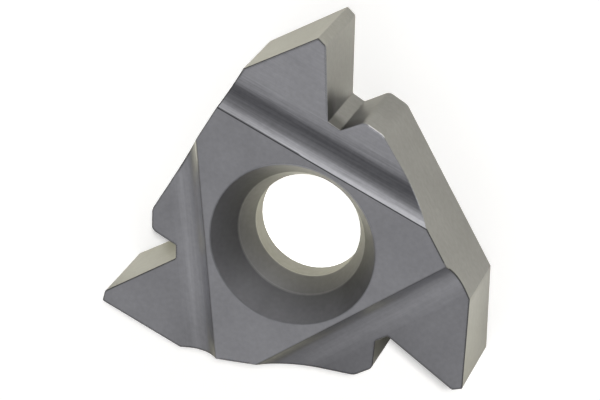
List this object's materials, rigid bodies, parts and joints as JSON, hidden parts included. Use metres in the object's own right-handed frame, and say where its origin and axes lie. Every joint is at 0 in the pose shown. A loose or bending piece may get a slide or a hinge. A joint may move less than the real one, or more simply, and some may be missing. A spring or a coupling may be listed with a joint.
{
  "type": "threading insert",
  "caption": "Flat triangular carbide cutting insert with pointed thread-cutting teeth, ground chip channels and a countersunk screw hole.",
  "frame": {"origin": "on the screw hole's axis, at the level of the flat seat face", "axes": "+Z along the screw hole, from the seat face to the raised flat; +Y along the centre line of one tooth, so that a locating side faces -X"},
  "size_m": [0.0164, 0.0176, 0.0048],
  "materials": {
    "coated_carbide": "fine satin grey coating over ground carbide"
  },
  "bodies": {
    "root": {"insert": "coated_carbide"}
  },
  "joints": []
}
